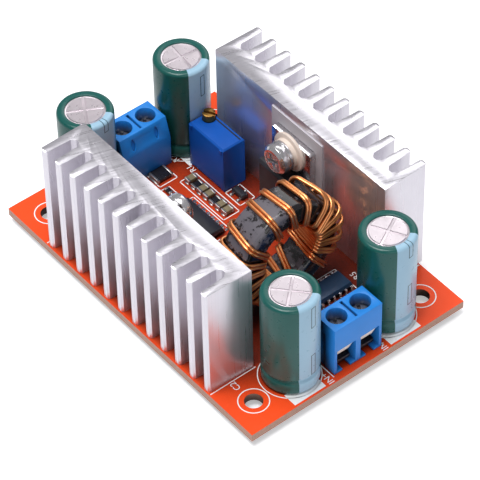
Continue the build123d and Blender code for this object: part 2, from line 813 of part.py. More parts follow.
def make_reference():
    """The three-lead part: a moulded body with two leads on one side and one on the other."""
    place = Pos(reference_x, reference_y, board_top)
    lift = reference_lead_thickness / 2
    body = Pos(0, 0, lift) * Box(reference_length, reference_width, reference_height, align=on_top)
    body = chamfer(body.faces().sort_by(Axis.Z)[-1].edges(), reference_lead_thickness)
    parts["reference_body"] = place * body
    leads = []
    for x, side in ((-reference_pin_pitch / 2, -1), (reference_pin_pitch / 2, -1), (0, 1)):
        inner, outer = side * reference_width / 2, side * reference_span / 2
        middle = reference_height / 2
        riser = block(x - reference_lead_width / 2, x + reference_lead_width / 2, inner,
                      inner + side * reference_lead_thickness, 0, middle)
        foot = block(x - reference_lead_width / 2, x + reference_lead_width / 2, inner, outer, 0,
                     reference_lead_thickness)
        leads.append(place * (riser + foot))
    parts["reference_leads"] = leads


def write_parts():
    os.makedirs("parts", exist_ok=True)
    for name, shape in parts.items():
        solids = shape if isinstance(shape, list) else [shape]
        flat = [piece for solid in solids for piece in solid.solids()]
        export_step(flat[0] if len(flat) == 1 else Compound(children=flat), f"parts/{name}.step")


make_board()
make_solder_joints()
make_cooling()
make_core()
make_winding()
make_capacitors()
make_terminals()
make_trimmer()
make_chip("controller", Pos(controller_x, controller_y, board_top), controller_pins_per_side)
make_chip("amplifier", Pos(amplifier_x, amplifier_y, board_top) * Rot(0, 0, 90), amplifier_pins_per_side)
make_small_parts()
make_reference()
write_parts()
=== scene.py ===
"""Look of a step-up converter board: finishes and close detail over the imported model.

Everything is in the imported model's frame: the origin is the centre of the mounting holes on the underside of
the board, X points towards the input end and Z points up. Sizes are in millimetres here and become metres
where a mesh or a pattern is made.
"""
from __future__ import annotations

import logging
import math
from dataclasses import dataclass, field
from enum import Enum
from functools import cached_property

import bpy
from mathutils import Matrix, Vector

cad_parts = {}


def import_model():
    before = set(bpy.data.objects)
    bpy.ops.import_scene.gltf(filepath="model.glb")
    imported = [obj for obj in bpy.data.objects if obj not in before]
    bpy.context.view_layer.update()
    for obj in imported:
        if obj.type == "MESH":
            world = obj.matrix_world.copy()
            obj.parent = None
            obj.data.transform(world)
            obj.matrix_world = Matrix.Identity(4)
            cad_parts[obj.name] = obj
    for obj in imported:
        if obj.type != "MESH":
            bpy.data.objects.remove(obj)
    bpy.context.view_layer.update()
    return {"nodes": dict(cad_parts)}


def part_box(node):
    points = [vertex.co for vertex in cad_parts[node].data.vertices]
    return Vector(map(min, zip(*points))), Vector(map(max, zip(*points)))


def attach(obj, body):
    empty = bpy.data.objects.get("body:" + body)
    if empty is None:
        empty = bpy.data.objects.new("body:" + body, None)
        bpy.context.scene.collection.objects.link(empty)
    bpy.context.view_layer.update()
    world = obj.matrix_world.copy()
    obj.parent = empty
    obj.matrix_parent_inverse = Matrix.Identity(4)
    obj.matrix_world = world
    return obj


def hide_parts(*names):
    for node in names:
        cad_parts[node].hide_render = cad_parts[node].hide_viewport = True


Object = bpy.types.Object
Socket = bpy.types.NodeSocket

LOG = logging.getLogger("converter")
MM = 0.001
ROOT = "board_assembly"


def linear(colour: str) -> tuple[float, float, float, float]:
    """Turn an sRGB hex colour into linear red, green, blue and alpha.

    Args:
        colour: Six hex digits with a leading hash.

    Returns:
        The linear colour with full alpha.
    """
    parts = [int(colour[place:place + 2], 16) / 255 for place in (1, 3, 5)]
    curve = [part / 12.92 if part <= 0.04045 else ((part + 0.055) / 1.055) ** 2.4 for part in parts]
    return (*curve, 1.0)


class Graph:
    """The nodes of one material or world while they are wired."""

    def __init__(self, owner: bpy.types.Material | bpy.types.World) -> None:
        """Turn on the owner's nodes and keep their tree."""
        owner.use_nodes = True
        self.tree = owner.node_tree

    def add(self, kind: str, inputs: dict | None = None, output: int | str = 0, **settings: object) -> Socket:
        """Add one node, set it up and link it.

        Args:
            kind: The node's type, without its ShaderNode prefix.
            inputs: Values or output sockets for its inputs, by name or index.
            output: Which output to hand back, by name or index.
            **settings: Attributes of the node.

        Returns:
            The chosen output socket.
        """
        node = self.tree.nodes.new("ShaderNode" + kind)
        for name, value in settings.items():
            setattr(node, name, value)
        self.feed(node, inputs or {})
        return node.outputs[output]

    def feed(self, node: bpy.types.Node, inputs: dict) -> None:
        """Set or link a node's inputs.

        Args:
            node: The node.
            inputs: Values or output sockets for its inputs, by name or index.
        """
        for name, value in inputs.items():
            if isinstance(value, Socket):
                self.tree.links.new(value, node.inputs[name])
            else:
                node.inputs[name].default_value = value

    @cached_property
    def place(self) -> Socket:
        """The surface point in the piece's own metres, which the patterns read."""
        return self.add("TexCoord", output="Object")

    @cached_property
    def level(self) -> Socket:
        """How level the surface lies: one where it looks straight up or down, zero on an upright side."""
        facing = self.add("NewGeometry", output="True Normal")
        return self.add("Math", {0: self.add("SeparateXYZ", {0: facing}, "Z")}, operation="ABSOLUTE")


@dataclass(frozen=True)
class Finish:
    """A plain finish: one colour with a fine grain, slight mottling and softened edges.

    The grain is drawn as bump and as a small change of roughness; the mottle is a slow change of tone. Where
    the painted shade has a reach, the tone is painted darker towards its colour where little sky is open.
    """

    name: str
    colour: str
    roughness: float = 0.5
    roughness_spread: float = 0.04
    metallic: float = 0.0
    specular: float = 0.5
    coat: float = 0.0
    coat_roughness: float = 0.12
    grain_mm: float = 0.3
    grain_depth_mm: float = 0.0015
    mottle: float = 0.06
    mottle_mm: float = 3.0
    edge_mm: float = 0.08
    # Painted shade: its colour, how far the sky is tested in millimetres, and the open-sky shares it fades
    # between
    painted_shade_colour: str = "#000000"
    painted_shade_mm: float = 0.0
    painted_shade_sky: tuple[float, float] = (0.1, 0.5)

    def build(self) -> bpy.types.Material:
        """Make the material, or hand back the one already made.

        Returns:
            The material with its node tree.
        """
        known = bpy.data.materials.get(self.name)
        if known:
            return known
        material = bpy.data.materials.new(self.name)
        graph = Graph(material)
        tone = self.tone(graph)
        # Painted shade: the tone is darkened where parts all round leave little open sky
        if self.painted_shade_mm:
            tone = self.paint_shade(graph, tone)
        graph.feed(graph.tree.nodes["Principled BSDF"], {"Base Color": tone, "Metallic": self.metallic,
            "Roughness": self.sheen(graph), "Specular IOR Level": self.specular, "Coat Weight": self.coat,
            "Coat Roughness": self.coat_roughness, "Normal": self.relief(graph)})
        return material

    def tone(self, graph: Graph) -> Socket:
        """Wire the base colour, lightened and darkened in slow patches.

        Args:
            graph: The material's nodes.

        Returns:
            The colour.
        """
        cloud = graph.add("TexNoise", {"Vector": graph.place, "Scale": 1 / (self.mottle_mm * MM),
            "Detail": 4.0})
        tone = graph.add("MapRange", {"Value": cloud, "From Min": 0.3, "From Max": 0.7,
            "To Min": 1 - self.mottle, "To Max": 1 + self.mottle})
        return graph.add("VectorMath", {0: linear(self.colour)[:3], "Scale": tone}, operation="SCALE")

    def paint_shade(self, graph: Graph, tone: Socket) -> Socket:
        """Paint shade into the tone where parts all round leave little open sky.

        Args:
            graph: The material's nodes.
            tone: The colour in the open.

        Returns:
            The colour with painted shade.
        """
        sky = graph.add("AmbientOcclusion", {"Distance": self.painted_shade_mm * MM}, "AO", samples=12)
        low, high = self.painted_shade_sky
        share = graph.add("MapRange", {"Value": sky, "From Min": low, "From Max": high})
        return graph.add("Mix", {0: share, 6: linear(self.painted_shade_colour), 7: tone}, 2, data_type="RGBA")

    def sheen(self, graph: Graph) -> Socket:
        """Wire the roughness: even, with fine patches of more and less shine.

        Args:
            graph: The material's nodes.

        Returns:
            The roughness.
        """
        cloud = graph.add("TexNoise", {"Vector": graph.place, "Scale": 0.4 / (self.grain_mm * MM)})
        return graph.add("MapRange", {"Value": cloud, "From Min": 0.25, "From Max": 0.75,
            "To Min": max(self.roughness - self.roughness_spread, 0.02),
            "To Max": self.roughness + self.roughness_spread})

    def relief(self, graph: Graph) -> Socket:
        """Wire the normal: a fine grain over edges that are slightly rounded.

        Args:
            graph: The material's nodes.

        Returns:
            The normal.
        """
        normal = graph.add("NewGeometry", output="Normal")
        if self.edge_mm:
            normal = graph.add("Bevel", {"Radius": self.edge_mm * MM}, samples=4)
        if not self.grain_depth_mm:
            return normal
        grain = graph.add("TexNoise", {"Vector": graph.place, "Scale": 1 / (self.grain_mm * MM),
            "Detail": 3.0})
        return graph.add("Bump", {"Strength": 0.6, "Distance": self.grain_depth_mm * MM, "Height": grain,
            "Normal": normal})


@dataclass(frozen=True)
class ExtrudedAluminium(Finish):
    """Clear anodised extrusion: fine die lines along Z on its flanks and saw marks across its cut ends.

    The smears are grey marks on the cut ends; the saw turn is the direction of the marks in radians from X.
    """

    die_line_mm: float = 0.25
    die_stretch: float = 0.012
    die_depth_mm: float = 0.0015
    saw_line_mm: float = 0.3
    saw_turn: float = 1.24
    saw_stretch: float = 16.0
    saw_depth_mm: float = 0.006
    smear_mm: float = 1.8
    smear_tone: float = 0.88

    def cut_end(self, graph: Graph) -> Socket:
        """Return a mask that is one where the surface looks straight up or down."""
        return graph.add("Math", {0: graph.level, 1: 0.7}, operation="GREATER_THAN")

    def lines(self, graph: Graph) -> Socket:
        """Wire the height of the lines: along Z on the flanks, saw marks on the ends.

        Args:
            graph: The material's nodes.

        Returns:
            The height, from zero to one.
        """
        along = graph.add("VectorMath", {0: graph.place, 1: (1.0, 1.0, self.die_stretch)},
            operation="MULTIPLY")
        die = graph.add("TexNoise", {"Vector": along, "Scale": 1 / (self.die_line_mm * MM), "Detail": 3.0})
        across = graph.add("Mapping", {"Vector": graph.place, "Rotation": (0, 0, self.saw_turn),
            "Scale": (self.saw_stretch, 1.0, 1.0)}, vector_type="TEXTURE")
        saw = graph.add("TexNoise", {"Vector": across, "Scale": 1 / (self.saw_line_mm * MM), "Detail": 3.0,
            "Distortion": 0.2})
        return graph.add("Mix", {0: self.cut_end(graph), 2: die, 3: saw}, data_type="FLOAT")

    def tone(self, graph: Graph) -> Socket:
        """Wire the colour: faint streaks on the flanks, saw lines and grey smears on the ends.

        Args:
            graph: The material's nodes.

        Returns:
            The colour.
        """
        weak = graph.add("MapRange", {"Value": self.cut_end(graph), "To Min": 0.98, "To Max": 0.92})
        lines = graph.add("MapRange", {"Value": self.lines(graph), "From Min": 0.35, "From Max": 0.65,
            "To Min": weak, "To Max": 1.02})
        cloud = graph.add("TexNoise", {"Vector": graph.place, "Scale": 1 / (self.smear_mm * MM),
            "Detail": 3.0})
        smear = graph.add("MapRange", {"Value": cloud, "From Min": 0.55, "From Max": 0.68, "To Min": 1.0,
            "To Max": self.smear_tone})
        ends = graph.add("Mix", {0: self.cut_end(graph), 2: 1.0, 3: smear}, data_type="FLOAT")
        both = graph.add("Math", {0: lines, 1: ends}, operation="MULTIPLY")
        return graph.add("VectorMath", {0: super().tone(graph), "Scale": both}, operation="SCALE")

    def sheen(self, graph: Graph) -> Socket:
        """Wire the roughness, drawn out along the lines.

        Args:
            graph: The material's nodes.

        Returns:
            The roughness.
        """
        return graph.add("MapRange", {"Value": self.lines(graph), "From Min": 0.3, "From Max": 0.7,
            "To Min": self.roughness - self.roughness_spread,
            "To Max": self.roughness + 2 * self.roughness_spread})

    def relief(self, graph: Graph) -> Socket:
        """Wire the normal from the lines, deeper on the cut ends.

        Args:
            graph: The material's nodes.

        Returns:
            The normal.
        """
        depth = graph.add("MapRange", {"Value": self.cut_end(graph), "To Min": self.die_depth_mm * MM,
            "To Max": self.saw_depth_mm * MM})
        edge = graph.add("Bevel", {"Radius": self.edge_mm * MM}, samples=4)
        return graph.add("Bump", {"Strength": 0.8, "Distance": depth, "Height": self.lines(graph),
            "Normal": edge})


@dataclass(frozen=True)
class MaskedLaminate(Finish):
    """Orange solder resist over copper on woven glass laminate, with the bare laminate on the cut edges.

    The pour is the size of the copper areas, whose edges stand up under the resist by the step.
    """

    edge_colour: str = "#B48472"
    glass_colour: str = "#D8B09A"
    layer_mm: float = 0.2
    thickness_mm: float = 1.6
    pour_mm: float = 9.0
    step_mm: float = 0.03
    weave_mm: float = 0.5

    def tone(self, graph: Graph) -> Socket:
        """Wire the colour: resist on both faces, laminate with pale glass layers on the sides.

        Args:
            graph: The material's nodes.

        Returns:
            The colour.
        """
        wave = graph.add("TexWave", {"Vector": graph.place, "Scale": 0.5 / (self.layer_mm * MM),
            "Distortion": 1.5, "Detail": 2.0}, "Fac", bands_direction="Z")
        layers = graph.add("Mix", {0: wave, 6: linear(self.edge_colour), 7: linear(self.glass_colour)}, 2,
            data_type="RGBA")
        height = graph.add("SeparateXYZ", {0: graph.place}, "Z")
        middle = graph.add("Math", {0: height, 1: self.thickness_mm / 2 * MM,
            2: self.thickness_mm * 0.47 * MM}, operation="COMPARE")
        side = graph.add("Math", {0: graph.level, 1: 0.5}, operation="LESS_THAN")
        bare = graph.add("Math", {0: side, 1: middle}, operation="MULTIPLY")
        return graph.add("Mix", {0: bare, 6: super().tone(graph), 7: layers}, 2, data_type="RGBA")

    def relief(self, graph: Graph) -> Socket:
        """Wire the normal: the weave and the edges of the copper areas show through the resist.

        Args:
            graph: The material's nodes.

        Returns:
            The normal.
        """
        flat = graph.add("VectorMath", {0: graph.place, 1: (1.0, 1.0, 0.0)}, operation="MULTIPLY")
        pour = graph.add("TexVoronoi", {"Vector": flat, "Scale": 1 / (self.pour_mm * MM),
            "Randomness": 0.6}, "Distance", distance="CHEBYCHEV")
        step = graph.add("MapRange", {"Value": pour, "From Min": 0.40, "From Max": 0.43})
        weave = graph.add("TexNoise", {"Vector": graph.place, "Scale": 1 / (self.weave_mm * MM)})
        both = graph.add("Math", {0: weave, 1: 0.15, 2: step}, operation="MULTIPLY_ADD")
        return graph.add("Bump", {"Strength": 0.5, "Distance": self.step_mm * MM, "Height": both})


@dataclass(frozen=True)
class WornCoating(Finish):
    """Dark glossy core coating, rubbed through to grey powder in ragged patches.

    The rubbing is worst about the given spots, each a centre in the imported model's frame and a reach, in
    millimetres.
    """

    worn_colour: str = "#625E66"
    worn_roughness: float = 0.3
    patch_mm: float = 1.7
    spot_gain: float = 0.14
    spots: tuple[tuple[float, float, float, float], ...] = ()

    def rub(self, graph: Graph) -> Socket:
        """Wire a mask that is one where the coating is rubbed through.

        Args:
            graph: The material's nodes.

        Returns:
            The mask.
        """
        level = graph.add("TexNoise", {"Vector": graph.place, "Scale": 1 / (self.patch_mm * MM),
            "Detail": 7.0, "Roughness": 0.75})
        for *centre, reach in self.spots:
            away = graph.add("VectorMath", {0: graph.place, 1: Vector(centre) * MM}, "Value",
                operation="DISTANCE")
            near = graph.add("MapRange", {"Value": away, "From Min": 0.4 * reach * MM,
                "From Max": reach * MM, "To Min": self.spot_gain, "To Max": 0.0},
                interpolation_type="SMOOTHSTEP")
            level = graph.add("Math", {0: level, 1: near}, operation="ADD")
        return graph.add("MapRange", {"Value": level, "From Min": 0.58, "From Max": 0.62})

    def tone(self, graph: Graph) -> Socket:
        """Return the colour: coating with grey patches."""
        return graph.add("Mix", {0: self.rub(graph), 6: super().tone(graph), 7: linear(self.worn_colour)}, 2,
            data_type="RGBA")

    def sheen(self, graph: Graph) -> Socket:
        """Return the roughness: the rubbed patches are duller."""
        return graph.add("MapRange", {"Value": self.rub(graph), "To Min": self.roughness,
            "To Max": self.roughness + self.worn_roughness})


@dataclass(frozen=True)
class ShrinkSleeve(Finish):
    """Dark green shrink film with the pale stripe and outlined bars that mark the negative side.

    The film reads the piece's own UV map: U runs once round the sleeve with the stripe's middle at a half,
    V runs up the sleeve in millimetres from the middle of a bar. Sizes are in millimetres, and the stripe's
    share is of the way round.
    """

    stripe_colour: str = "#A0C4DA"
    stripe_share: float = 0.178
    bar_colour: str = "#2E4A58"
    bar_pitch: float = 11.2
    bar_height: float = 4.7
    bar_width: float = 1.05
    bar_line: float = 0.16
    once_round: float = 31.2

    def band(self, graph: Graph, value: Socket, middle: float, half: float) -> Socket:
        """Return a mask that is one where a value lies within half of a middle."""
        return graph.add("Math", {0: value, 1: middle, 2: half}, operation="COMPARE")

    def bars(self, graph: Graph, across: Socket, along: Socket, inset: float) -> Socket:
        """Wire a mask of the bars.

        Args:
            graph: The material's nodes.
            across: Place round the sleeve, as U.
            along: Distance up or down from the nearest bar's middle, in millimetres.
            inset: How much smaller the bars are on every side, in millimetres.

        Returns:
            The mask, one inside a bar.
        """
        wide = self.band(graph, across, 0.5, (self.bar_width / 2 - inset) / self.once_round)
        high = self.band(graph, along, 0.0, self.bar_height / 2 - inset)
        return graph.add("Math", {0: wide, 1: high}, operation="MULTIPLY")

    def tone(self, graph: Graph) -> Socket:
        """Wire the colour: film, stripe and the outlined bars on the stripe.

        Args:
            graph: The material's nodes.

        Returns:
            The colour.
        """
        across = graph.add("SeparateXYZ", {0: graph.add("UVMap", uv_map="film")}, "X")
        along = graph.add("Math", {0: across.node.outputs["Y"], 1: self.bar_pitch / 2},
            operation="PINGPONG")
        line = graph.add("Math", {0: self.bars(graph, across, along, 0.0),
            1: self.bars(graph, across, along, self.bar_line)}, operation="SUBTRACT", use_clamp=True)
        stripe = self.band(graph, across, 0.5, self.stripe_share / 2)
        striped = graph.add("Mix", {0: stripe, 6: super().tone(graph), 7: linear(self.stripe_colour)}, 2,
            data_type="RGBA")
        return graph.add("Mix", {0: line, 6: striped, 7: linear(self.bar_colour)}, 2, data_type="RGBA")


class Palette:
    """The finishes of the module, each named for its real material."""

    # Solder resist: strong orange-red, satin, so the floor and lamps show in it only faintly; painted shade
    # darkens it between the parts
    laminate = MaskedLaminate("solder_resist_on_laminate", "#FF501A", roughness=0.45, specular=0.25,
        coat=0.05, mottle=0.05, mottle_mm=6.0, painted_shade_colour="#2A0804", painted_shade_mm=40.0, painted_shade_sky=(0.13, 0.57))
    # Screen-printed epoxy ink: dull white
    ink = Finish("silk_screen_ink", "#FFFFFF", roughness=0.7, mottle=0.03, edge_mm=0.02)
    # Tin-lead solder: bright and wavy, with hard glints
    solder = Finish("tin_solder", "#DAD8D6", roughness=0.2, metallic=1.0, grain_mm=0.5, grain_depth_mm=0.02)
    # Reflowed paste at the chip parts: duller than hand solder
    paste = Finish("reflowed_solder", "#B4B0AE", roughness=0.36, metallic=0.9, grain_depth_mm=0.01)
    # Anodised extrusion: pale and silky, crisp edges, sawn across its ends
    extrusion = ExtrudedAluminium("anodised_extrusion", "#E4E1E8", roughness=0.3, metallic=0.85,
        mottle=0.02, edge_mm=0.04)
    # Drawn can: pinkish white, smoother than the extrusion
    can = Finish("drawn_aluminium", "#DED4DA", roughness=0.3, metallic=0.7, mottle_mm=1.6,
        grain_depth_mm=0.0, edge_mm=0.0)
    # Silicone sheet: grey with a faint shine
    sheet = Finish("silicone_sheet", "#C6C2C8", roughness=0.42, mottle=0.05)
    # Tinned copper: soft shine with dull patches
    tinned = Finish("tinned_copper_lead", "#D8D6D8", roughness=0.26, metallic=1.0, mottle=0.08, edge_mm=0.04)
    # Clamp cage metal deep in the terminal: dull, and darkened as painted shade so it stays dark behind the
    # leaf
    cage = Finish("clamp_cage", "#5A5658", roughness=0.45, metallic=0.9, mottle=0.1, edge_mm=0.04)
    # Tin-plated spring leaf: creamy and not metallic, its pale colour partly a painted reflection of the pale
    # floor, so it catches the light in the dark wire entry
    leaf = Finish("tinned_spring_leaf", "#FFF2E2", roughness=0.45, mottle=0.03, edge_mm=0.04)
    # Epoxy moulding compound: black, satin
    moulding = Finish("epoxy_moulding", "#2A2A30", roughness=0.42, mottle=0.1, grain_depth_mm=0.003)
    # Epoxy moulding: black, tinted blue by a painted reflection of the blue terminal beside it
    moulding_blue_reflection = Finish("moulding_painted_reflection", "#23405E", roughness=0.4, mottle=0.08, grain_depth_mm=0.003)
    # Nylon: warm white, slightly waxy
    nylon = Finish("moulded_nylon", "#E8D8CC", roughness=0.42, mottle=0.04)
    # Zinc plate: bright, almost a mirror
    zinc = Finish("zinc_plate", "#E2E0E2", roughness=0.2, metallic=0.9, mottle=0.07, mottle_mm=1.2,
        grain_mm=0.6, grain_depth_mm=0.006)
    # Core coating: glossy black, chalky grey where rubbed
    core = WornCoating("rubbed_core_coating", "#1A171A", roughness=0.26, coat=0.3, mottle=0.15,
        grain_mm=0.35, grain_depth_mm=0.02,
        spots=((12.4, -6.2, 22.4, 6.5), (12.4, 1.0, 8.2, 4.5), (14.0, -1.8, 24.2, 3.4)))
    # Enamelled wire: copper under clear varnish, with light ridges and dark gaps
    copper = Finish("varnished_copper_wire", "#F6A266", roughness=0.31, metallic=1.0, coat=0.25,
        mottle=0.08, mottle_mm=2.4, grain_depth_mm=0.0, edge_mm=0.0)
    # Shrink film over the cans: dark green with a gloss
    sleeve = ShrinkSleeve("shrink_sleeve", "#155852", roughness=0.3, specular=0.35, edge_mm=0.0,
        grain_depth_mm=0.0, coat=0.1, mottle=0.04)
    # Rubber bung: black and matt
    rubber = Finish("moulded_rubber", "#1B1B1D", roughness=0.8)
    # Terminal polyamide: bright blue, satin, with painted shade making it deep blue inside its wells and
    # entries
    blue = Finish("blue_polyamide", "#2288E2", roughness=0.42, mottle=0.03, painted_shade_colour="#04142C",
        painted_shade_mm=5.0)
    # Trimmer case: deeper blue thermoset
    deep_blue = Finish("blue_thermoset", "#0C54B0", roughness=0.45, specular=0.3, mottle=0.05)
    # Brass screw: dull where handled
    brass = Finish("turned_brass", "#96703A", roughness=0.36, metallic=1.0, mottle=0.15, mottle_mm=1.0)
    # Thick-film overcoat: glossy black glaze
    glaze = Finish("resistor_glaze", "#1E1C20", roughness=0.3, mottle=0.1)
    # Fired ceramic: olive tan, satin
    ceramic = Finish("fired_ceramic", "#85785C", roughness=0.5, mottle=0.12, mottle_mm=1.2)


class Rounding(Enum):
    """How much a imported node's edges are rounded, in millimetres."""

    NONE = 0.0
    FINE = 0.03
    CRISP = 0.04
    SMALL = 0.06
    MEDIUM = 0.12
    LARGE = 0.3


def deselect() -> None:
    """Leave edit mode and deselect every object."""
    if bpy.context.object and bpy.context.object.mode != "OBJECT":
        bpy.ops.object.mode_set(mode="OBJECT")
    bpy.ops.object.select_all(action="DESELECT")


def take(obj: Object) -> None:
    """Make one object the only selected and the active one.

    Args:
        obj: The object.
    """
    deselect()
    obj.select_set(True)
    bpy.context.view_layer.objects.active = obj


def moved(x: float, y: float, z: float = 0.0) -> Matrix:
    """Return a shift by millimetres."""
    return Matrix.Translation((x * MM, y * MM, z * MM))


def turned(name: str, profile: list[tuple[float, float]], sides: int = 64, closed: bool = False) -> Object:
    """Model a round piece about Z ring by ring, as on a lathe.

    Args:
        name: The piece's name.
        profile: Radius and height of each ring in millimetres, in order along the surface.
        sides: Number of sides round the piece.
        closed: Whether the last ring meets the first, as on a tube; otherwise both ends are filled.

    Returns:
        The new object, with its mesh about the origin.
    """
    deselect()
    radius, height = profile[0]
    bpy.ops.mesh.primitive_circle_add(vertices=sides, radius=radius * MM, location=(0, 0, height * MM),
        fill_type="NOTHING" if closed else "NGON")
    obj = bpy.context.object
    obj.name = obj.data.name = name
    bpy.ops.object.mode_set(mode="EDIT")
    bpy.ops.mesh.select_all(action="SELECT")
    for following, level in profile[1:]:
        bpy.ops.mesh.extrude_region_move(TRANSFORM_OT_translate={"value": (0, 0, (level - height) * MM)})
        share = following / radius
        bpy.ops.transform.resize(value=(share, share, 1))
        radius, height = following, level
    if closed:
        bpy.ops.mesh.select_mode(type="EDGE")
        bpy.ops.mesh.select_all(action="DESELECT")
        bpy.ops.mesh.select_non_manifold(extend=False)
        bpy.ops.mesh.bridge_edge_loops()
    bpy.ops.mesh.select_all(action="SELECT")
    bpy.ops.mesh.remove_doubles(threshold=0.00001 * MM)
    bpy.ops.mesh.normals_make_consistent(inside=False)
    bpy.ops.object.mode_set(mode="OBJECT")
    obj.data.transform(Matrix.Translation(obj.location))
    obj.location = (0, 0, 0)
    return obj


def block(low: Vector, high: Vector, turn: Matrix | None = None) -> Object:
    """Model one box.

    Args:
        low: Its lowest corner before it is turned, in metres.
        high: Its highest corner.
        turn: How it is turned about its middle.

    Returns:
        The new object, with its place in its mesh.
    """
    deselect()
    bpy.ops.mesh.primitive_cube_add(size=1)
    obj = bpy.context.object
    size = Matrix.Diagonal((*(high - low), 1))
    obj.data.transform(Matrix.Translation((low + high) / 2) @ (turn or Matrix()) @ size)
    return obj


def duplicate(obj: Object, name: str, place: Matrix) -> Object:
    """Copy an object with its own mesh and put the copy's place into that mesh.

    Args:
        obj: The object to copy.
        name: The copy's name.
        place: Where the copy goes.

    Returns:
        The copy.
    """
    copy = obj.copy()
    copy.data = obj.data.copy()
    copy.name = copy.data.name = name
    bpy.context.collection.objects.link(copy)
    copy.data.transform(place)
    return copy


def joined(name: str, objects: list[Object]) -> Object:
    """Join mesh objects into one.

    Args:
        name: The joined object's name.
        objects: The objects to join, at least one.

    Returns:
        The joined object.
    """
    take(objects[0])
    for obj in objects:
        obj.select_set(True)
    if len(objects) > 1:
        bpy.ops.object.join()
    whole = bpy.context.object
    whole.name = whole.data.name = name
    return whole


def dress(obj: Object, finish: Finish) -> None:
    """Give an object one finish all over."""
    obj.data.materials.clear()
    obj.data.materials.append(finish.build())


def complete(piece: Object, finish: Finish, slot: str, *replaced: str, angle: float = 60.0) -> None:
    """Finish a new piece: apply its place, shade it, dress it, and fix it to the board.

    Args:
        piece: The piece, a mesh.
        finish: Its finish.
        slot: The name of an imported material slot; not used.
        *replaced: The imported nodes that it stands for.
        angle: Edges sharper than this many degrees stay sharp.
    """
    take(piece)
    bpy.ops.object.transform_apply(location=True, rotation=True, scale=True)
    bpy.ops.object.shade_smooth_by_angle(angle=math.radians(angle))
    dress(piece, finish)
    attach(piece, ROOT)
    if replaced:
        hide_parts(*replaced)
    LOG.info("%s: %d faces", piece.name, len(piece.data.polygons))


def soften(node: Object, rounding: Rounding, segments: int = 2) -> None:
    """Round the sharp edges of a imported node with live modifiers; its own mesh stays as it is.

    Args:
        node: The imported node's object.
        rounding: Width of the rounding.
        segments: Steps across the rounding.
    """
    node.data.polygons.foreach_set("use_smooth", [True] * len(node.data.polygons))
    weld = node.modifiers.new("weld", "WELD")
    weld.merge_threshold = 0.0005 * MM
    bevel = node.modifiers.new("bevel", "BEVEL")
    bevel.width = rounding.value * MM
    bevel.segments = segments
    bevel.limit_method = "ANGLE"
    bevel.angle_limit = math.radians(32)
    bevel.harden_normals = True
    bevel.use_clamp_overlap = True


@dataclass
class SubAssembly:
    """A part of the module that is modelled and dressed together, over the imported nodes."""

    nodes: dict[str, Object]

    def build(self) -> None:
        """Model and dress the sub-assembly."""
        raise NotImplementedError


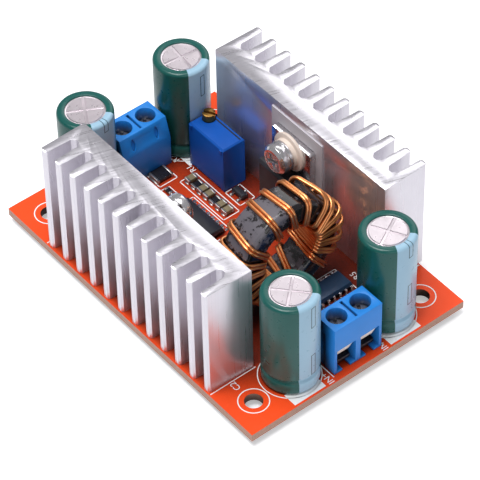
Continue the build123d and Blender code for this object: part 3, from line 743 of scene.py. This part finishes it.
@dataclass
class Board(SubAssembly):
    """The printed board: its resist and its printing, in plan from the middle of the mounting holes.

    Outlines are two opposite corners, strokes are two ends, and labels are letters, centre and direction of
    reading in degrees from X. A foot is the white patch printed beside a capacitor: the side of the board it
    belongs to, its shift along Y from the capacitor and half its length.
    """

    top: float = 1.6
    line: float = 0.17
    ink_height: float = 0.02
    hole_x: float = 28.0
    hole_y: float = 18.15
    hole_ring: float = 2.52
    hole_line: float = 0.19
    cap_x: float = 27.25
    cap_rows: tuple[float, ...] = (-9.67, 11.07)
    cap_ring: float = 5.25
    cap_shift: float = -0.2
    foot_x: float = 4.45
    foot_width: float = 2.8
    feet: tuple[tuple[int, float, float], ...] = ((-1, -0.3, 3.1), (1, -0.6, 3.3))
    # Chip row, reference part, sense resistor, lone chip, amplifier and controller
    outlines: tuple[tuple[float, float, float, float], ...] = (
        (-19.4, 3.9, -7.2, 7.4), (-12.2, 8.3, -8.1, 11.6), (-24.5, 0.4, -20.6, 4.3),
        (-19.8, 0.0, -17.6, 1.8), (14.0, 1.6, 20.8, 11.1), (-15.0, -3.4, -4.0, 3.4))
    # Over the chip row, beside the four mounting corners, and at both ends of each terminal
    strokes: tuple[tuple[float, float, float, float], ...] = (
        (-21.2, 8.5, -14.2, 8.5),
        (-22.45, -22.7, -22.45, -13.3), (-22.45, 22.7, -22.45, 14.9),
        (22.45, -22.7, 22.45, -13.3), (22.45, 22.7, 22.45, 14.9),
        (26.4, -4.75, 32.4, -4.75), (26.4, 6.15, 32.4, 6.15),
        (-32.4, -4.75, -26.4, -4.75), (-32.4, 6.15, -26.4, 6.15))
    wire_letter: float = 1.2
    wire_labels: tuple[tuple[str, float, float, float], ...] = (
        ("IN+", 32.0, -5.7, 180), ("IN-", 32.3, 5.95, 180), ("OUT-", -31.9, -2.4, 90),
        ("OUT+", -31.9, 3.8, 90))
    part_letter: float = 1.15
    part_labels: tuple[tuple[str, float, float, float], ...] = (
        ("R1", -20.7, 7.5, 180), ("C2", 23.6, -18.4, 180), ("R5", 17.3, 12.8, 180), ("R2", -24.6, 6.8, 180))
    prints: list[Object] = field(default_factory=list)

    def stroke(self, start: tuple[float, float], end: tuple[float, float], width: float,
            capped: bool = True) -> None:
        """Print one straight stroke between two points.

        Args:
            start: One end in millimetres.
            end: The other end.
            width: Width of the stroke.
            capped: Whether the stroke runs on past both ends by half its width.
        """
        run = Vector(end) - Vector(start)
        half = Vector((run.length + (width if capped else 0), width, 2 * self.ink_height)) / 2 * MM
        middle = Vector((*(Vector(start) + run / 2), self.top)) * MM
        turn = Matrix.Rotation(math.atan2(run.y, run.x), 4, "Z")
        self.prints.append(block(middle - half, middle + half, turn))

    def outline(self, x0: float, y0: float, x1: float, y1: float) -> None:
        """Print a rectangle.

        Args:
            x0: One corner along the board in millimetres.
            y0: The same corner across the board.
            x1: The opposite corner along the board.
            y1: The opposite corner across the board.
        """
        corners = ((x0, y0), (x1, y0), (x1, y1), (x0, y1))
        for start, end in zip(corners, corners[1:] + corners[:1]):
            self.stroke(start, end, self.line)

    def ring(self, x: float, y: float, radius: float, width: float) -> None:
        """Print a circle.

        Args:
            x: Centre along the board in millimetres.
            y: Centre across the board.
            radius: Inner radius of the line.
            width: Width of the line.
        """
        low, high = self.top - self.ink_height, self.top + self.ink_height
        section = [(radius, low), (radius + width, low), (radius + width, high), (radius, high)]
        obj = turned("ring", section, 72, True)
        obj.data.transform(moved(x, y))
        self.prints.append(obj)

    def letters(self, words: str, x: float, y: float, turn: float, size: float) -> None:
        """Print plain letters centred on a point.

        Args:
            words: The letters.
            x: Centre along the board in millimetres.
            y: Centre across the board.
            turn: Direction of reading in degrees from X.
            size: Height of the letters.
        """
        deselect()
        bpy.ops.object.text_add()
        text = bpy.context.object.data
        text.body = words
        # The font's size is the height of a line, about 1.4 times its capitals
        text.size = size * 1.4 * MM
        text.align_x = text.align_y = "CENTER"
        text.extrude = self.ink_height * MM
        text.resolution_u = 3
        bpy.ops.object.convert(target="MESH")
        obj = bpy.context.object
        obj.data.transform(moved(x, y, self.top) @ Matrix.Rotation(math.radians(turn), 4, "Z"))
        self.prints.append(obj)

    def minus_sides(self) -> None:
        """Print a circle round each capacitor and fill the foot of its negative side in white."""
        for side, shift, half in self.feet:
            for row in self.cap_rows:
                self.ring(side * self.cap_x, row + self.cap_shift, self.cap_ring, self.line)
                x, y = side * self.cap_x + self.foot_x, row + shift
                self.stroke((x, y - half), (x, y + half), self.foot_width, False)

    def build(self) -> None:
        """Dress the board, print every outline and label and join them into one piece."""
        dress(self.nodes["board"], Palette.laminate)
        for x in (-self.hole_x, self.hole_x):
            for y in (-self.hole_y, self.hole_y):
                self.ring(x, y, self.hole_ring, self.hole_line)
        self.minus_sides()
        for corners in self.outlines:
            self.outline(*corners)
        for x0, y0, x1, y1 in self.strokes:
            self.stroke((x0, y0), (x1, y1), self.line)
        for labels, size in ((self.wire_labels, self.wire_letter), (self.part_labels, self.part_letter)):
            for label in labels:
                self.letters(*label, size)
        complete(joined("board_print", self.prints), Palette.ink, "board_laminate", angle=35)


@dataclass
class Capacitors(SubAssembly):
    """Four electrolytic capacitors in green sleeves, each with its scored can and its polarity stripe.

    A bar's place is the height of its middle over the foot of its sleeve; turns are in degrees.
    """

    names: tuple[str, ...] = ("input_capacitor_left", "input_capacitor_right", "output_capacitor_left",
        "output_capacitor_right")
    radius: float = 4.97
    foot: float = 1.95
    height: float = 19.82
    roll: float = 0.65
    window: float = 3.55
    sunk: float = 0.34
    groove: float = 0.19
    groove_depth: float = 0.17
    groove_slope: float = 0.1
    sides: int = 96
    stripe_turn: float = 9.0
    bar_places: tuple[float, ...] = (16.9, 19.2, 8.8, 15.9)
    vent_turns: tuple[float, ...] = (42.0, 28.0, -31.0, -6.0)

    def sleeve_profile(self) -> list[tuple[float, float]]:
        """Return the rings of the sleeve, from its lower inside edge round the outside to the top window.

        Returns:
            Radius and height of each ring, in millimetres.
        """
        r, z, top = self.radius, self.foot, self.foot + self.height
        hem = [(r - 1.2, z + 0.02), (r - 0.35, z), (r - 0.08, z + 0.1), (r, z + 0.35)]
        bead = [(r, z + 2.05), (r - 0.1, z + 2.25), (r - 0.34, z + 2.5), (r - 0.38, z + 2.7),
            (r - 0.34, z + 2.9), (r - 0.1, z + 3.15), (r, z + 3.35)]
        roll = [(r + self.roll * (math.cos(a) - 1), top + self.roll * (math.sin(a) - 1))
            for a in (math.radians(step) for step in range(0, 91, 15))]
        lip = [(self.window + 0.2, top - 0.02), (self.window + 0.04, top - 0.08),
            (self.window, top - 0.2), (self.window, top - self.sunk - 0.2)]
        return hem + bead + roll + lip

    def film_map(self, sleeve: Object, bar: float) -> None:
        """Give the sleeve its UV map: once round in U, up the outside and over the top in V.

        Args:
            sleeve: The sleeve, about the origin.
            bar: Height of a bar's middle above the foot, in millimetres.
        """
        layer = sleeve.data.uv_layers.new(name="film")
        for face in sleeve.data.polygons:
            middle = sum((sleeve.data.vertices[v].co for v in face.vertices), Vector()) / len(face.vertices)
            base = math.atan2(middle.y, middle.x)
            for loop in face.loop_indices:
                point = sleeve.data.vertices[sleeve.data.loops[loop].vertex_index].co / MM
                angle = math.atan2(point.y, point.x)
                angle += math.tau * round((base - angle) / math.tau)
                inward = self.radius - math.hypot(point.x, point.y) if point.z > self.height / 2 else 0
                layer.data[loop].uv = (angle / math.tau + 0.5, point.z - self.foot + inward - bar)

    def model_can(self) -> Object:
        """Model the sunk top of the can with its pressed cross.

        Returns:
            The disc, about the origin.
        """
        top, rim = self.foot + self.height - self.sunk, self.window + 0.05
        disc = turned("can_top", [(rim, top - 0.2), (rim, top), (rim - 0.15, top + 0.05),
            (rim - 0.35, top)])
        take(disc)
        bpy.ops.object.mode_set(mode="EDIT")
        for shift in (-self.groove, self.groove):
            for axis in (Vector((1, 0, 0)), Vector((0, 1, 0))):
                bpy.ops.mesh.select_all(action="SELECT")
                bpy.ops.mesh.bisect(plane_co=axis * shift * MM, plane_no=axis)
        bpy.ops.mesh.select_mode(type="FACE")
        bpy.ops.mesh.select_all(action="DESELECT")
        bpy.ops.object.mode_set(mode="OBJECT")
        for face in disc.data.polygons:
            x, y, z = face.center / MM
            quarter = min(abs(x), abs(y)) > self.groove and math.hypot(x, y) < rim - 0.4
            face.select = quarter and z > top - 0.05 and face.normal.z > 0.9
        bpy.ops.object.mode_set(mode="EDIT")
        bpy.ops.mesh.inset(thickness=self.groove_slope * MM, depth=self.groove_depth * MM,
            use_individual=True)
        bpy.ops.object.mode_set(mode="OBJECT")
        return disc

    def build(self) -> None:
        """Model one sleeve and one can top and copy them to the four places."""
        sleeve = turned("sleeve", self.sleeve_profile(), self.sides)
        disc = self.model_can()
        for name, bar, vent in zip(self.names, self.bar_places, self.vent_turns):
            low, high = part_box(name + "_sleeve")
            middle = Matrix.Translation(((low.x + high.x) / 2, (low.y + high.y) / 2, 0))
            film = duplicate(sleeve, name + "_film", Matrix())
            self.film_map(film, bar)
            film.data.transform(middle @ Matrix.Rotation(math.radians(self.stripe_turn), 4, "Z"))
            complete(film, Palette.sleeve, "cap_sleeve", name + "_sleeve", angle=50)
            top = duplicate(disc, name + "_top", middle @ Matrix.Rotation(math.radians(vent), 4, "Z"))
            complete(top, Palette.can, "can_aluminium", name + "_can", angle=30)
        bpy.data.objects.remove(sleeve)
        bpy.data.objects.remove(disc)


@dataclass(frozen=True)
class Turn:
    """Where one turn of the pair crosses the core's edges, as angles in degrees from +Y towards +Z.

    The pair crosses the outside from the back (-X) edge to the front one, runs in over the front face, goes
    through the bore to the back and out over the back face. Stand-off and lift are in millimetres: how far
    it bulges at the front edge, and how far it lies on top of its neighbours in the bore.
    """

    back: float
    front: float
    bore_front: float
    bore_back: float
    stand_off: float = 0.0
    lift: float = 0.0


@dataclass
class Choke(SubAssembly):
    """The wound ring: two round enamelled strands side by side over the coated core."""

    centre: tuple[float, float, float] = (12.4, 0.15, 14.15)
    core_outer: float = 10.2
    core_inner: float = 6.0
    core_half: float = 3.3
    strand: float = 0.64
    spacing: float = 0.65
    outer_bend: float = 1.45
    bulge_bend: float = 1.3
    bore_bend: float = 0.85
    bend_steps: int = 6
    lead_radius: float = 9.741
    lead_angles: tuple[float, float] = (250.0, 596.0)
    lead_swing: float = 12.0
    lead_spread: float = 2.0
    lead_foot: float = 2.0
    lead_bend: float = 0.5
    start: tuple[float, float] = (253.0, 271.0)
    turns: tuple[Turn, ...] = (
        Turn(279, 274, 269, 297, 0.1), Turn(304, 314, 320, 331, 0.4), Turn(334, 332, 335, 345, 0.9),
        Turn(348, 346.5, 347.5, 358, 1.4), Turn(361, 363, 360, 371, 1.4), Turn(375, 378.5, 372.5, 384, 1.4),
        Turn(391, 394.5, 382, 398, 0.8, 0.5), Turn(416, 406, 395, 420, 1.2), Turn(432.5, 430, 421, 440, 0.4),
        Turn(454.5, 451, 442, 460), Turn(470.5, 472, 474, 487, 0.35), Turn(497, 503, 512, 511, 0.5),
        Turn(517.5, 520, 526, 525, 0.3), Turn(534, 533.5, 539.5, 539, 0.2), Turn(550, 553, 555.5, 554),
        Turn(564.5, 566, 570, 568), Turn(578.5, 579, 583, 583), Turn(592, 592, 597, 601))

    def point(self, radius: float, angle: float, x: float, shift: float) -> Vector:
        """Return a point of the winding.

        Args:
            radius: Distance from the core's axis in millimetres.
            angle: Angle round the core in degrees.
            x: Place along the core's axis in millimetres.
            shift: Shift round the core in millimetres, for one strand of the pair.

        Returns:
            The point in metres.
        """
        turn = math.radians(angle)
        cx, cy, cz = self.centre
        y = cy + radius * math.cos(turn) - shift * math.sin(turn)
        z = cz + radius * math.sin(turn) + shift * math.cos(turn)
        return Vector((cx + x, y, z)) * MM

    def corners(self) -> list[tuple[float, float, float, float]]:
        """Work out the corners of the winding, in the order of the wire.

        Returns:
            Radius, angle, place along the axis and reach of the bend at every corner.
        """
        off = self.strand / 2
        outer, inner, half = self.core_outer + off, self.core_inner - off, self.core_half + off
        wide, tight = self.outer_bend, self.bore_bend
        path = [(self.lead_radius, self.lead_angles[0], half, tight), (inner, self.start[0], half, tight),
            (inner, self.start[1], -half, tight)]
        for turn in self.turns:
            path += [(outer + turn.stand_off / 2, turn.back, -half, wide),
                (outer + turn.stand_off, turn.front, half + turn.stand_off / 4,
                wide + self.bulge_bend * turn.stand_off),
                (inner - turn.lift, turn.bore_front, half + turn.lift, tight),
                (inner - turn.lift, turn.bore_back, -half, tight)]
        return path + [(self.lead_radius, self.lead_angles[1] + self.lead_swing, -half, tight)]

    def wire_points(self, side: int) -> list[Vector]:
        """Return the centre line of one strand, its corners rounded and its ends led down to the board.

        Args:
            side: Minus one or one, for either side of the pair.

        Returns:
            The points, in metres.
        """
        path = [(self.point(r, a, x, side * self.spacing / 2), bend) for r, a, x, bend in self.corners()]
        half = self.core_half + self.strand / 2
        ends = []
        for angle, x in zip(self.lead_angles, (half, -half)):
            root = self.point(self.lead_radius, angle, x, 0)
            y = root.y + side * self.lead_spread / 2 * MM
            ends.append([(Vector((root.x, y, z)), self.lead_bend) for z in (0, self.lead_foot * MM)])
        path = ends[0] + path + ends[1][::-1]
        points = [path[0][0]]
        for (before, _), (here, bend), (after, _) in zip(path, path[1:], path[2:]):
            reach = min(bend * MM, (here - before).length / 2.1, (after - here).length / 2.1)
            start = here + (before - here).normalized() * reach
            end = here + (after - here).normalized() * reach
            for part in (step / self.bend_steps for step in range(self.bend_steps + 1)):
                points.append(start.lerp(here, part).lerp(here.lerp(end, part), part))
        return points + [path[-1][0]]

    def strand_mesh(self, side: int) -> Object:
        """Draw one strand as round wire along its centre line.

        Args:
            side: Minus one or one, for either side of the pair.

        Returns:
            The strand as a mesh.
        """
        curve = bpy.data.curves.new("strand", "CURVE")
        curve.dimensions = "3D"
        spline = curve.splines.new("POLY")
        points = self.wire_points(side)
        spline.points.add(len(points) - 1)
        for spot, point in zip(spline.points, points):
            spot.co = (*point, 1)
        curve.bevel_depth = self.strand / 2 * MM
        curve.bevel_resolution = 3
        curve.use_fill_caps = True
        obj = bpy.data.objects.new("strand", curve)
        bpy.context.collection.objects.link(obj)
        take(obj)
        bpy.ops.object.convert(target="MESH")
        return bpy.context.object

    def build(self) -> None:
        """Wind both strands and dress the core."""
        wire = joined("choke_wire", [self.strand_mesh(side) for side in (-1, 1)])
        complete(wire, Palette.copper, "enamelled_copper", "choke_winding")
        dress(self.nodes["choke_core"], Palette.core)
        soften(self.nodes["choke_core"], Rounding.LARGE, 3)


@dataclass
class TrimmerMarks(SubAssembly):
    """What shows on the trimmer's case: two nubs on the upper front edge and the seam of its lid, a black
    strip that is painted shade of the gap.
    """

    nub: float = 0.6
    proud: float = 0.2
    seam: float = 0.28

    def mark(self, name: str, low: Vector, high: Vector, finish: Finish) -> None:
        """Add one box to the case.

        Args:
            name: The mark's name.
            low: Its lowest corner in metres.
            high: Its highest corner.
            finish: Its finish.
        """
        obj = block(low, high)
        obj.name = obj.data.name = name
        complete(obj, finish, "trimmer_plastic")

    def build(self) -> None:
        """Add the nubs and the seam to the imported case."""
        low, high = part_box("trimmer_case")
        nub, proud, seam = self.nub * MM, self.proud * MM, self.seam * MM
        for name, x in (("trimmer_nub_1", low.x + nub), ("trimmer_nub_2", high.x - nub)):
            self.mark(name, Vector((x - nub / 2, low.y - proud, high.z - 1.6 * nub)),
                Vector((x + nub / 2, low.y + nub, high.z - nub / 2)), Palette.deep_blue)
        # The seam is a black strip standing for the shade in the lid's gap: painted shade
        self.mark("trimmer_seam", Vector((low.x + nub / 2, high.y - 3 * seam, high.z - seam)),
            Vector((high.x - nub / 2, high.y - 2 * seam, high.z + 0.1 * seam)), Palette.rubber)


@dataclass
class SolderSide(SubAssembly):
    """The soldered ends of the leads under the board.

    The profile gives each ring's share of the joint's radius and its height in millimetres.
    """

    profile: tuple[tuple[float, float], ...] = ((1.0, 0.0), (0.8, -0.12), (0.62, -0.32), (0.5, -0.6),
        (0.44, -0.9), (0.36, -1.15), (0.2, -1.28))
    sides: int = 24

    def build(self) -> None:
        """Replace the plain cones with smooth fillets round domed lead ends."""
        joints = []
        for x, y, radius in self.centres():
            rings = [(radius * share, height) for share, height in self.profile]
            joints.append(turned("joint", rings, self.sides))
            joints[-1].data.transform(moved(x, y))
        complete(joined("solder_fillets", joints), Palette.solder, "solder", "solder_joints")

    def centres(self) -> list[tuple[float, float, float]]:
        """Read each joint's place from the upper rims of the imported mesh's loose parts.

        Returns:
            Centre and radius of each joint, in millimetres.
        """
        mesh = self.nodes["solder_joints"].data
        keys = [tuple(round(value / MM, 3) for value in vertex.co) for vertex in mesh.vertices]
        near: dict[tuple, set[tuple]] = {key: set() for key in keys}
        for edge in mesh.edges:
            one, other = (keys[number] for number in edge.vertices)
            near[one].add(other)
            near[other].add(one)
        left, result = set(near), []
        while left:
            queue = [left.pop()]
            part = []
            while queue:
                key = queue.pop()
                part.append(key)
                fresh = near[key] & left
                left -= fresh
                queue += fresh
            xs, ys = ([key[axis] for key in part if key[2] > -0.01] for axis in (0, 1))
            result.append(((min(xs) + max(xs)) / 2, (min(ys) + max(ys)) / 2, (max(xs) - min(xs)) / 2))
        return sorted(result)


@dataclass(frozen=True)
class Pads:
    """A grid of soldered ends about a centre, each a low mound of one size, in millimetres."""

    centre: tuple[float, float]
    size: tuple[float, float, float]
    count: tuple[int, int] = (1, 1)
    pitch: tuple[float, float] = (0.0, 0.0)

    def places(self) -> list[tuple[float, float]]:
        """Return the place of every mound."""
        columns, rows = ([middle + (number - (count - 1) / 2) * pitch for number in range(count)]
            for middle, count, pitch in zip(self.centre, self.count, self.pitch))
        return [(x, y) for x in columns for y in rows]


@dataclass
class ChipSolder(SubAssembly):
    """Solder on the component side: a rounded fillet at the end of every chip part's lead."""

    top: float = 1.6
    # Chip row, sense resistor, lone chip, reference part's two leads and one, controller and amplifier
    pads: tuple[Pads, ...] = (
        Pads((-13.36, 5.65), (1.15, 0.6, 0.16), (7, 2), (1.68, 1.92)),
        Pads((-22.6, 2.2), (2.5, 0.6, 0.26), (1, 2), (0.0, 3.5)),
        Pads((-18.7, 0.9), (0.7, 0.9, 0.32), (2, 1), (1.7, 0.0)),
        Pads((-10.2, 8.75), (0.8, 0.8, 0.42), (2, 1), (1.9, 0.0)),
        Pads((-10.2, 11.15), (0.8, 0.8, 0.42)),
        Pads((-9.5, 0.0), (0.55, 0.9, 0.2), (8, 2), (1.27, 5.7)),
        Pads((17.4, 6.3), (0.9, 0.55, 0.2), (2, 7), (5.7, 1.27)))

    def fillet(self, x: float, y: float, size: tuple[float, float, float]) -> Object:
        """Model one fillet as a low mound.

        Args:
            x: Centre along the board in millimetres.
            y: Centre across the board.
            size: Size along X and Y, and height over the board.

        Returns:
            The mound.
        """
        deselect()
        bpy.ops.mesh.primitive_uv_sphere_add(segments=16, ring_count=8, radius=0.5)
        obj = bpy.context.object
        wide, deep, high = (value * MM for value in size)
        obj.data.transform(moved(x, y, self.top) @ Matrix.Diagonal((wide, deep, 2 * high, 1)))
        return obj

    def build(self) -> None:
        """Model all the fillets as one piece."""
        mounds = [self.fillet(*place, pads.size) for pads in self.pads for place in pads.places()]
        complete(joined("chip_fillets", mounds), Palette.paste, "solder")


@dataclass
class PackedNodes(SubAssembly):
    """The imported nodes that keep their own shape: each gets a finish and slightly rounded edges."""

    def plan(self) -> dict[str, tuple[Finish, Rounding]]:
        """Return the finish and rounding of each node by the end of its name."""
        return {
            "_heatsink": (Palette.extrusion, Rounding.CRISP),
            "_insulating_pad": (Palette.sheet, Rounding.NONE),
            "_transistor_metal": (Palette.tinned, Rounding.FINE),
            "_transistor_body": (Palette.moulding, Rounding.MEDIUM),
            "_bushing": (Palette.nylon, Rounding.MEDIUM),
            "_spring_washer": (Palette.zinc, Rounding.SMALL),
            "_mounting_screw": (Palette.zinc, Rounding.SMALL),
            "_terminal_housing": (Palette.blue, Rounding.SMALL),
            "_terminal_contacts": (Palette.cage, Rounding.FINE),
            "_clamp_leaf_1": (Palette.leaf, Rounding.FINE),
            "_clamp_leaf_2": (Palette.leaf, Rounding.FINE),
            "_clamp_screw_1": (Palette.zinc, Rounding.SMALL),
            "_clamp_screw_2": (Palette.zinc, Rounding.SMALL),
            "trimmer_case": (Palette.deep_blue, Rounding.SMALL),
            "trimmer_screw": (Palette.brass, Rounding.SMALL),
            "_pins": (Palette.tinned, Rounding.NONE),
            "_leads": (Palette.tinned, Rounding.NONE),
            "_bung": (Palette.rubber, Rounding.FINE),
            "controller_body": (Palette.moulding, Rounding.FINE),
            # The amplifier's bluish tint is a painted reflection of the blue terminal
            "amplifier_body": (Palette.moulding_blue_reflection, Rounding.FINE),
            "reference_body": (Palette.moulding, Rounding.FINE),
            "chip_resistors": (Palette.glaze, Rounding.FINE),
            "sense_resistor": (Palette.glaze, Rounding.FINE),
            "chip_capacitors": (Palette.ceramic, Rounding.FINE),
            "chip_end_caps": (Palette.paste, Rounding.FINE),
        }

    def build(self) -> None:
        """Dress every node that the plan names."""
        for name, node in self.nodes.items():
            for ending, (finish, rounding) in self.plan().items():
                if name.endswith(ending):
                    dress(node, finish)
                    if rounding is not Rounding.NONE:
                        soften(node, rounding)
                    LOG.info("%s: %s", name, finish.name)


@dataclass(frozen=True)
class Lamp:
    """One square soft lamp that looks at the module: place and side in millimetres, power in watts."""

    name: str
    place: tuple[float, float, float]
    size: float
    power: float


@dataclass
class Studio:
    """Floor, world, lamps and the camera, which stands where the photograph was taken.

    Places are in millimetres and angles in degrees; the focal length and the frame's side are in pixels.
    """

    azimuth: float = 51.9
    elevation: float = 46.22
    roll: float = -1.34
    eye: tuple[float, float, float] = (278.6, -216.7, 373.3)
    focal_px: float = 2996.0
    frame_px: float = 480.0
    aim_height: float = 10.0
    sky_colour: str = "#F2F2F6"
    sky_strength: float = 0.3
    floor_height: float = -1.3
    floor_size: float = 6000.0
    floor_colour: str = "#F6F6F8"
    floor_glow: float = 0.42
    lamps: tuple[Lamp, ...] = (
        Lamp("key", (-60, -60, 520), 260, 1.9), Lamp("fill", (420, -160, 200), 260, 0.32),
        Lamp("rim", (-200, 330, 300), 260, 0.4), Lamp("spark", (40, -150, 420), 100, 0.34))

    def camera(self) -> None:
        """Place the camera."""
        az, el, roll = (math.radians(value) for value in (self.azimuth, self.elevation, self.roll))
        back = Vector((math.sin(az) * math.cos(el), -math.cos(az) * math.cos(el), math.sin(el)))
        right = (-back).cross(Vector((0, 0, 1))).normalized()
        up = right.cross(-back)
        across = right * math.cos(roll) + up * math.sin(roll)
        above = up * math.cos(roll) - right * math.sin(roll)
        data = bpy.data.cameras.new("camera")
        data.sensor_width = 36.0
        data.lens = self.focal_px * data.sensor_width / self.frame_px
        data.clip_start, data.clip_end = 0.05, 20.0
        obj = bpy.data.objects.new("camera", data)
        turn = Matrix((across, above, back)).transposed().to_4x4()
        obj.matrix_world = moved(*self.eye) @ turn
        bpy.context.collection.objects.link(obj)
        bpy.context.scene.camera = obj

    def hang(self, lamp: Lamp) -> None:
        """Hang one lamp and aim it at the module.

        Args:
            lamp: The lamp.
        """
        data = bpy.data.lights.new(lamp.name, "AREA")
        data.shape = "SQUARE"
        data.size = lamp.size * MM
        data.energy = lamp.power
        obj = bpy.data.objects.new(lamp.name, data)
        obj.location = Vector(lamp.place) * MM
        aim = Vector((0, 0, self.aim_height * MM)) - obj.location
        obj.rotation_euler = aim.to_track_quat("-Z", "Y").to_euler()
        bpy.context.collection.objects.link(obj)

    def world(self) -> None:
        """Set a pale world that is white behind the module."""
        world = bpy.data.worlds.new("studio")
        bpy.context.scene.world = world
        graph = Graph(world)
        graph.tree.nodes.clear()
        seen = graph.add("LightPath", output="Is Camera Ray")
        soft = graph.add("Background", {"Color": linear(self.sky_colour), "Strength": self.sky_strength})
        white = graph.add("Background", {"Color": (1, 1, 1, 1), "Strength": 1.0})
        mix = graph.add("MixShader", {0: seen, 1: soft, 2: white})
        graph.feed(graph.tree.nodes.new("ShaderNodeOutputWorld"), {0: mix})

    def ground(self) -> None:
        """Lay the pale floor, white to the camera apart from the module's shadow."""
        deselect()
        bpy.ops.mesh.primitive_plane_add(size=self.floor_size * MM, location=(0, 0, self.floor_height * MM))
        obj = bpy.context.object
        obj.name = "floor"
        material = bpy.data.materials.new("paper_sweep")
        graph = Graph(material)
        shader = graph.tree.nodes["Principled BSDF"]
        graph.feed(shader, {"Base Color": linear(self.floor_colour), "Roughness": 0.9,
            "Specular IOR Level": 0.1})
        seen = graph.add("LightPath", output="Is Camera Ray")
        none = graph.add("Emission", {"Color": (0, 0, 0, 1), "Strength": 0.0})
        glow = graph.add("Emission", {"Color": (1, 1, 1, 1), "Strength": self.floor_glow})
        lit = graph.add("MixShader", {0: seen, 1: none, 2: glow})
        both = graph.add("AddShader", {0: shader.outputs[0], 1: lit})
        graph.feed(graph.tree.nodes["Material Output"], {0: both})
        obj.data.materials.append(material)

    def build(self) -> None:
        """Set up the whole studio."""
        bpy.context.scene.view_settings.view_transform = "Standard"
        self.camera()
        self.world()
        self.ground()
        for lamp in self.lamps:
            self.hang(lamp)
        LOG.info("studio ready")


def main() -> None:
    """Build the studio and every sub-assembly."""
    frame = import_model()
    Studio().build()
    for part in (PackedNodes, Board, Capacitors, Choke, TrimmerMarks, SolderSide, ChipSolder):
        part(frame["nodes"]).build()


if __name__ == "__main__":
    logging.basicConfig(level=logging.INFO)
    main()
